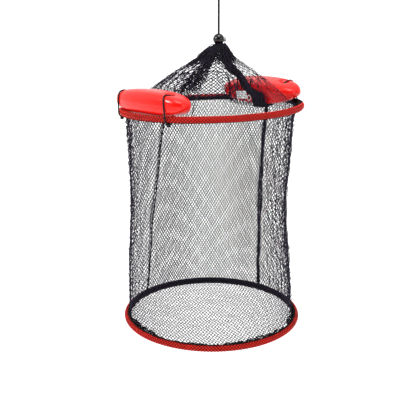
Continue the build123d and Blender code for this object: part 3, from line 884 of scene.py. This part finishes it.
def cone_bulge(azimuth, rise):
    """How far the cone swells to the left: a lump under its mouth, and a fuller side below that."""
    lump = 3.0 * hill(azimuth, 190, 45) * bell((rise - 74) / 6)
    return lump + 3.2 * hill(azimuth, 182, 40) * np.clip(rise / 25, 0, 1) * np.clip((84 - rise) / 8, 0, 1)


def cone_surface(column, share, columns):
    """Points of the cone's netting, the direction out of it, and their distance and rise."""
    azimuth = column / columns * TURN
    azimuth, fold = gathered(azimuth, share, CONE_FOLDS)
    radius, rise = cone_line(azimuth, share)
    phase = PLEATS * azimuth + ripple((1.1, 3 * azimuth + 0.5), (0.7, 5 * azimuth + 2), (0.5, 6 * share))
    azimuth = azimuth + 0.75 / PLEATS * np.cos(phase) * np.clip((share - 0.1) / 0.3, 0, 1)
    depth = np.minimum(2.6, 0.15 * radius) * np.clip((share - 0.06) / 0.25, 0, 1)
    depth = depth * (0.65 + 0.35 * np.sin(4 * azimuth + 1))
    pleat = np.sin(phase) + 0.35 * np.sin(2.3 * phase + 7 * share)
    ends = np.clip(share / 0.05, 0, 1)
    radius = radius + depth * pleat + ends * fold * np.minimum(1, radius / 30) + cone_bulge(azimuth, rise)
    return cone_place(azimuth, radius, rise), top.outward(azimuth), radius, rise


CONE_COLUMNS, MOUTH_COLUMNS = 104, 62
CONE_ROWS = 32
CONE_YARN = YARN * 1.16
cone_pieces = []
for name, columns, first, last, stands in (
    ("cone_net_lower", CONE_COLUMNS, 0, 17, ["cone_net"]),
    ("cone_net_upper", MOUTH_COLUMNS, 16, CONE_ROWS, ["mouth_hem"]),
):
    column, share = lattice(CONE_ROWS, columns)
    points, outward, radius, rise = cone_surface(column, share, columns)
    thin = np.clip((rise + 4.5) / 4.5, 0.25, 1)  # finer where it is pressed flat under a float
    aside = outward @ top.x
    aside = np.where(aside > 0, 0.74 * aside**2, 0.5 * np.abs(aside) ** 3)
    thin = thin * (1 - aside * np.clip((72 - rise) / 10, 0, 1))  # and at the sides, most at the right
    loose = np.clip((70 - radius) / 60, 0, 1)[..., None]
    jitter = random.normal(0, 1, points.shape) * (0.15 + 0.6 * loose) * MM
    jitter[0] = 0
    points = points + jitter
    panel = Build()
    net_tube(panel, points, outward, CONE_YARN * thin * (1 + BACK_EXTRA * outward[..., 1]), first, last)
    cone_pieces.append(panel.piece(name, net_look, "haul_line", "black_netting", stands))


def cone_band(name, route, threads, spread):
    """A gathered band of netting that runs up the cone: many slack yarns side by side."""
    count = 110
    share = np.linspace(0.1, 0.97, count)
    middle = np.radians(np.interp(share, *zip(*route)))
    bundle = Build()
    for k in range(threads):
        radius, rise = cone_line(middle, share)
        wander = 0.06 * np.cumsum(random.normal(0, 1, count))
        side = random.uniform(-1, 1) * spread + 1.3 * np.sin(19 * share + 3 * k) + wander
        azimuth = middle + side * np.clip(radius / 60, 0.3, 1.0) / np.maximum(radius, 6)
        radius, rise = cone_line(azimuth, share)
        depth = random.uniform(-2.5, 0.2) + 0.8 * np.sin(27 * share + 5 * k)
        radius = radius + depth * np.clip(radius / 40, 0.2, 1)
        line = cone_place(azimuth, radius, rise)
        tubes(bundle, line[None], top.outward(azimuth)[None], YARN * 1.3)
    return bundle.piece(name, shaded_fold_look, "haul_line", "black_netting")


# share of the way up the cone, azimuth
BAND_ROUTE = ((0.1, 34), (0.2, 26), (0.3, 18), (0.4, 23), (0.456, 41), (0.56, 59), (0.69, 63), (1.0, 64))
bands = [cone_band("cone_band_right", BAND_ROUTE, 100, 9.2)]


def slack_fold(name, begin, end, low, high, layers, roughness):
    """Spare netting of the cone that hangs in loose layers between two azimuths."""
    fold = Build()
    for layer in range(layers):
        rows = round((high - low) * CONE_ROWS)
        columns = round((end - begin) / 360 * CONE_COLUMNS * 1.5)
        column, share = lattice(rows, columns)
        place = column / columns
        share = low + (high - low) * share
        lean_in = np.radians(begin + (end - begin) * place - 10 * (share - 0.5) + 3 * layer)
        radius, rise = cone_line(lean_in, share)
        edge = np.clip(np.minimum(place, 1 - place) / 0.2, 0, 1)
        waves = 1.5 * np.sin(9 * place * math.pi + 14 * share + layer)
        radius = radius - edge * (1.5 + 2.2 * layer) + waves
        points = cone_place(lean_in, radius, rise)
        points = points + random.normal(0, roughness * MM, points.shape)
        net_panel(fold, points, top.outward(lean_in), YARN * 1.15)
    return fold.piece(name, shaded_fold_look, "haul_line", "black_netting")


bands.append(slack_fold("cone_fold_left", 97, 120, 0.14, 0.98, 2, 1.1))


CROWN_FOOT, CROWN_TOP = (57, 67), 82.5  # rises between which the yarns are packed


def crown(name, threads):
    """The netting gathered tight under the draw cord: many yarns packed side by side."""
    packed = Build()
    height = np.linspace(0, 1, 26)
    for k in range(threads):
        azimuth = TURN * k / threads + 0.06 * np.sin(9 * height + k) + random.normal(0, 0.03)
        foot = random.uniform(*CROWN_FOOT) + 6 * hill(azimuth[0], 0, 40)
        rise = foot + (CROWN_TOP - foot) * height
        radius = np.interp(rise, cone_rise, cone_radius) + 1.1 * np.sin(13 * height + 1.7 * k)
        radius = radius + random.uniform(-2.0, 0.8) * (1 - 0.5 * height) + cone_bulge(azimuth, rise)
        line = cone_place(azimuth, radius, rise)
        tubes(packed, line[None], top.outward(azimuth)[None], YARN * 1.35)
    return packed.piece(name, shaded_fold_look, "haul_line", "black_netting")


bands.append(crown("cone_crown", 240))

# ---- the netting pieces get mesh data of their own
for piece in (*side_pieces, *seams):
    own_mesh(piece)
for piece in (*cone_pieces, *bands):
    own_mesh(piece)

# ---- floats
FLOATS = {
    # azimuth, lean, CAD node, body
    "left": (218.2, 5.0, "float_front_left", "left_float"),
    "right": (39.0, 13.0, "float_back_right", "right_float"),
}
FLOAT_LENGTH, FLOAT_WIDTH, FLOAT_HEIGHT = 146.0, 46.0, 33.0
HOLE_AT, HOLE_OUT, HOLE_RADIUS, HOLE_SIDES = 46.0, 0.6, 2.5, 28
DRILL_REACH = 40.0  # past the float's top and underside
FLOAT_SQUARE = 3.2  # exponent of the float's section: 2 is an ellipse, more is squarer
FLOAT_PLAN, FLOAT_ENDS = 2.5, 2.25  # exponents of its width and its height along it: blunt ends


class FloatFrame:
    """Local axes of a float: X outward and leant, Y along it, Z up."""

    def __init__(self, azimuth, lean, node):
        low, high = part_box(node)
        self.centre = (np.array(low) + np.array(high)) / 2
        out, slant = top.outward(math.radians(azimuth)), math.radians(lean)
        self.x = out * math.cos(slant) + top.z * math.sin(slant)
        self.z = top.z * math.cos(slant) - out * math.sin(slant)
        self.y = np.cross(self.z, self.x)

    def at(self, x, y, z):
        """Points from local millimetres."""
        pairs = ((x, self.x), (y, self.y), (z, self.z))
        return self.centre + sum(np.asarray(length)[..., None] * MM * axis for length, axis in pairs)

    def local(self, point):
        off = (np.asarray(point) - self.centre) / MM
        return np.array([off @ self.x, off @ self.y, off @ self.z])


def float_shares(along):
    """Share of its full width and height that a float has at a place along it."""
    t = np.clip(np.abs(2 * along / FLOAT_LENGTH), 0, 1)
    return (1 - t**FLOAT_PLAN) ** (1 / FLOAT_PLAN), (1 - t**FLOAT_ENDS) ** (1 / FLOAT_ENDS)


def float_surface(along, angle):
    """Local x and z of a float's skin."""
    wide, high = float_shares(along)
    power = 2 / FLOAT_SQUARE
    c, s = np.cos(angle), np.sin(angle)
    x = FLOAT_WIDTH / 2 * wide * np.sign(c) * np.abs(c) ** power
    z = FLOAT_HEIGHT / 2 * high * np.sign(s) * np.abs(s) ** power
    seam_line = 0.22 * (bell(angle / 0.03) + bell((angle - math.pi) / 0.03))
    x = x + np.sign(c) * seam_line
    for end in (-1, 1):
        off = np.hypot((x - HOLE_OUT - 4.0) / 1.35, (along - end * HOLE_AT) / 1.2)
        z = z - np.sign(s) * 4.2 * np.exp(-((off / 5.0) ** 3.2))
    return x, z


def make_float(name, azimuth, lean, node, body):
    """A blown float with a hole near each end."""
    local = FloatFrame(azimuth, lean, node)
    step = np.linspace(-1, 1, 150)
    along = FLOAT_LENGTH / 2 * np.sin(step * math.pi / 2) * 0.9995
    around_it = np.linspace(0, TURN, 112, endpoint=False)
    spread = around_it - 0.095 * np.sin(4 * around_it)
    extra = [angle + d for angle in (0.0, math.pi) for d in (-0.05, -0.025, 0.0, 0.025, 0.05)]
    angle = np.unique(np.round(np.concatenate([spread, np.array(extra) % TURN]), 4))
    along, angle = np.meshgrid(along, angle, indexing="ij")
    x, z = float_surface(along, np.where(angle > 1.5 * math.pi, angle - TURN, angle))
    skin = Build()
    grid(skin, local.at(x, along, z), wrap_u=True)
    made = skin.piece(f"float_{name}", float_look, body, "float_plastic", [node])
    count = along.shape[1]
    first, last = np.arange(count), along.size - 1 - np.arange(count)
    capped = bpy.data.meshes.new("ends")
    capped.from_pydata(skin.vertices[0], [], [*skin.faces[0].tolist(), first.tolist(), last.tolist()])
    capped.materials.append(float_look)
    made.data = capped
    ring = np.linspace(0, TURN, HOLE_SIDES, endpoint=False)
    here = np.arange(HOLE_SIDES)
    there = np.roll(here, -1)
    walls = np.stack([here, there, there + HOLE_SIDES, here + HOLE_SIDES], axis=-1).tolist()
    lids = [here[::-1].tolist(), (here + HOLE_SIDES).tolist()]
    for end in (-1, 1):
        x, y = HOLE_OUT + HOLE_RADIUS * np.cos(ring), end * HOLE_AT + HOLE_RADIUS * np.sin(ring)
        rims = [local.at(x, y, np.full(HOLE_SIDES, height)) for height in (-DRILL_REACH, DRILL_REACH)]
        drill_mesh = bpy.data.meshes.new("drill")
        drill_mesh.from_pydata(np.concatenate(rims), [], walls + lids)
        drill = linked("drill", drill_mesh)
        hole = made.modifiers.new("hole", "BOOLEAN")
        hole.object, hole.operation, hole.solver = drill, "DIFFERENCE", "EXACT"
        bpy.context.view_layer.update()
        shape = bpy.data.meshes.new_from_object(made.evaluated_get(bpy.context.evaluated_depsgraph_get()))
        made.modifiers.clear()
        made.data = shape
        bpy.data.objects.remove(drill)
    made.data.shade_smooth()
    made.data.set_sharp_from_angle(angle=math.radians(38))
    return local


float_frames = {name: make_float(name, *facts) for name, facts in FLOATS.items()}

LASH = 1.1  # half the thickness of the cord that ties a float, in millimetres
LASH_BRAID = (0.75 * MM, 12, 8.0 * MM, (0.33 * MM, 0.22 * MM), 0.09 * MM)
LASH_CORE = 0.78 * MM


def lashing(side, letter, end, shift, hug):
    """Cord through a float's hole, over its outer side and round the hoop, closed under the float."""
    local = float_frames[side]
    along = end * HOLE_AT
    high = float(float_shares(np.array(along))[1])
    half_height = FLOAT_HEIGHT * high / 2
    azimuth = math.radians(FLOATS[side][0]) + math.asin((along + shift) * MM / top.radius)
    hoop = local.local(top.at(azimuth, top.radius, 0.0))
    clear = top.tube / MM + 0.8 + LASH

    def over(share, angle, proud):
        """Point beside the float's skin, a share of the way along from the hole to the hoop."""
        place, turn = along + share * shift, math.radians(angle)
        x, z = (float(v) for v in float_surface(np.array(place), np.array(turn)))
        return (x + proud * math.cos(turn), place, z + proud * math.sin(turn))

    def under(angle):
        """Point round the hoop's tube."""
        turn = math.radians(angle)
        return (hoop[0] + clear * math.cos(turn), hoop[1], hoop[2] + clear * math.sin(turn))

    corners = [
        (HOLE_OUT, along, -half_height + 3),
        (HOLE_OUT, along, 0.0),
        (HOLE_OUT + 0.3, along, half_height - 4.0),
        (HOLE_OUT + 3.5, along + 0.1 * shift, half_height - 2.0 + hug),
        over(0.3, 62, LASH + hug),
        over(0.55, 42, LASH + 0.6 + hug),
        over(0.8, 22, LASH + 0.5 + hug),
        over(1.0, -4, LASH + 0.4),
        over(1.0, -28, LASH + 0.5),
        *(under(angle) for angle in (-5, -45, -90, -135, 175)),
        (HOLE_OUT - 2.0, along, -half_height - 1.5),
    ]
    line = rounded(local.at(*(np.array(c) for c in zip(*corners))), True)
    tied = Build()
    cord(tied, line, True, local.y, LASH_BRAID, LASH_CORE, 120)
    tie = local.at(np.array(hoop[0] + 0.5), np.array(hoop[1]), np.array(hoop[2] - 1.12 * clear))
    turns = np.linspace(0, 2.2, 40)
    wind = tie + (
        np.cos(TURN * turns)[:, None] * local.y * 1.9 * MM
        + np.sin(TURN * turns)[:, None] * local.z * 1.6 * MM
        + ((turns - 1.1) * 1.7 * MM)[:, None] * local.x
    )
    cord(tied, wind, False, local.x, LASH_BRAID, LASH_CORE)
    node = FLOATS[side][2].replace("float", "lashing") + f"_{letter}"
    tied.piece(f"lashing_{side}_{letter}", cord_look, f"{side}_float", "black_cord", [node])


for side, letter, end, shift, hug in (
    ("left", "a", 1, 8.0, 0.2),
    ("left", "b", -1, -4.0, 0.2),
    ("right", "a", 1, 3.0, -0.6),
    ("right", "b", -1, -3.0, -0.6),
):
    lashing(side, letter, end, shift, hug)

# ---- label
LABEL_WIDTH, LABEL_HEIGHT, LABEL_THICK = 22.0, 11.0, 0.45
LABEL_TURN = math.radians(-4.0)
label_centre = sum(np.array(c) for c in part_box("label_tag")) / 2
label_out = top.outward(math.radians(FLOAT_AXIS))
label_along = np.cross(top.z, label_out)
label_x = label_along * math.cos(LABEL_TURN) + top.z * math.sin(LABEL_TURN)
label_y = np.cross(label_out, label_x)


def label_point(x, y, z):
    """Point of the label from local millimetres, with the cloth's slight curl."""
    curl = 0.9 * np.sin(x / LABEL_WIDTH * math.pi) * (y / LABEL_HEIGHT) + 0.5 * np.cos(x / 5)
    return (
        label_centre
        + (np.asarray(x)[..., None] * label_x + np.asarray(y)[..., None] * label_y) * MM
        - (np.asarray(z + curl)[..., None] * label_out) * MM
    )


columns, rows = 45, 23
x, y = np.meshgrid(np.linspace(-0.5, 0.5, columns), np.linspace(-0.5, 0.5, rows))
x, y = x * LABEL_WIDTH, y * LABEL_HEIGHT
edge = np.minimum(LABEL_WIDTH / 2 - np.abs(x), LABEL_HEIGHT / 2 - np.abs(y))
puff = LABEL_THICK / 2 * np.clip(edge / 0.4, 0.25, 1) * (1 + 0.35 * (edge < 1.4))
label = Build()
index = np.arange(rows * columns).reshape(rows, columns)
quads = np.stack([index[:-1, :-1], index[:-1, 1:], index[1:, 1:], index[1:, :-1]], axis=-1).reshape(-1, 4)
uv = np.stack([x, y], axis=-1).reshape(-1, 2)
back = quads[:, ::-1] + rows * columns
rim = np.concatenate([index[0, :-1], index[:-1, -1], index[-1, :0:-1], index[:0:-1, 0]])
walls = np.stack([rim, rim + rows * columns, np.roll(rim, -1) + rows * columns, np.roll(rim, -1)], axis=-1)
both = np.concatenate([label_point(x, y, puff).reshape(-1, 3), label_point(x, y, -puff).reshape(-1, 3)])
faces = np.concatenate([quads, back, walls])
double_uv = np.concatenate([uv, uv])
label.add(both, faces, double_uv[faces])
label_piece = label.piece("label_cloth", label_look, "top_hoop", "label_cloth", ["label_tag"])

# ---- carried-over CAD nodes
KEPT_LOOKS = (
    (wire_look, ("top_hoop_wire", "bottom_hoop_wire", "lock_spring")),
    (ferrule_look, ("top_hoop_ferrule", "bottom_hoop_ferrule")),
    (core_shade_look, ("top_hoop_core", "bottom_hoop_core")),
    (cord_look, ("mouth_drawcord", "noose_knot")),
    (lock_look, ("lock_ball",)),
    (button_look, ("lock_plunger",)),
    (ring_look, ("label_ring",)),
)
for look, kept in KEPT_LOOKS:
    for name in kept:
        materials = nodes[name].data.materials
        materials.clear()
        materials.append(look)

# ---- floor, light and background
GROUND_DEPTH, GROUND_REACH = -1.35, 14.0
WHITE, PALE = (1.0, 1.0, 1.0, 1.0), (0.9, 0.9, 0.9, 1.0)
ground_mesh = bpy.data.meshes.new("ground")
corners = ((-1, -1), (1, -1), (1, 1), (-1, 1))
corners = [(x * GROUND_REACH, y * GROUND_REACH, GROUND_DEPTH) for x, y in corners]
ground_mesh.from_pydata(corners, [], [(0, 1, 2, 3)])
ground = linked("ground", ground_mesh)
pale = Look("pale_ground", Roughness=0.9, Base_Color=PALE, Emission_Color=WHITE, Emission_Strength=0.55)
ground.data.materials.append(pale.material)

BACKDROP = 1.45  # as bright as the lit ground, so that no horizon shows through the netting
scene = bpy.context.scene
scene.view_settings.view_transform = "Standard"
scene.world = bpy.data.worlds.new("studio")
sky = Shader(scene.world, "Background")
toward_light = {0: sky.place("Generated"), 1: (0.0, 0.62, 0.78)}
toward = sky.node("ShaderNodeVectorMath", toward_light, operation="DOT_PRODUCT").outputs["Value"]
spans = {"From Min": -0.45, "From Max": 0.55, "To Min": 0.05, "To Max": 0.95}
glow = sky.node("ShaderNodeMapRange", {"Value": toward, **spans}, interpolation_type="SMOOTHSTEP")
seen = sky.node("ShaderNodeLightPath").outputs["Is Camera Ray"]
sky.surface.inputs["Color"].default_value = WHITE
sky.set("Strength", sky.math("MAXIMUM", sky.math("MULTIPLY", seen, BACKDROP), glow.outputs["Result"]))

for name, at, size, power in (
    ("key", (-1.15, -0.55, 0.45), 0.45, 12.0),
    ("overhead", (0.1, -0.5, 1.3), 1.2, 16.0),
    ("right", (1.1, -0.9, 0.2), 0.5, 4.0),
):
    light = bpy.data.lights.new(name, "AREA")
    light.shape, light.size, light.energy = "DISK", size, power
    back = unit(np.array(at) - top.centre)
    side = unit(np.cross((0.0, 0.0, 1.0), back))
    up = np.cross(back, side)
    rows = [[side[i], up[i], back[i], at[i]] for i in range(3)]
    linked(name, light).matrix_world = Matrix([*rows, [0, 0, 0, 1]])
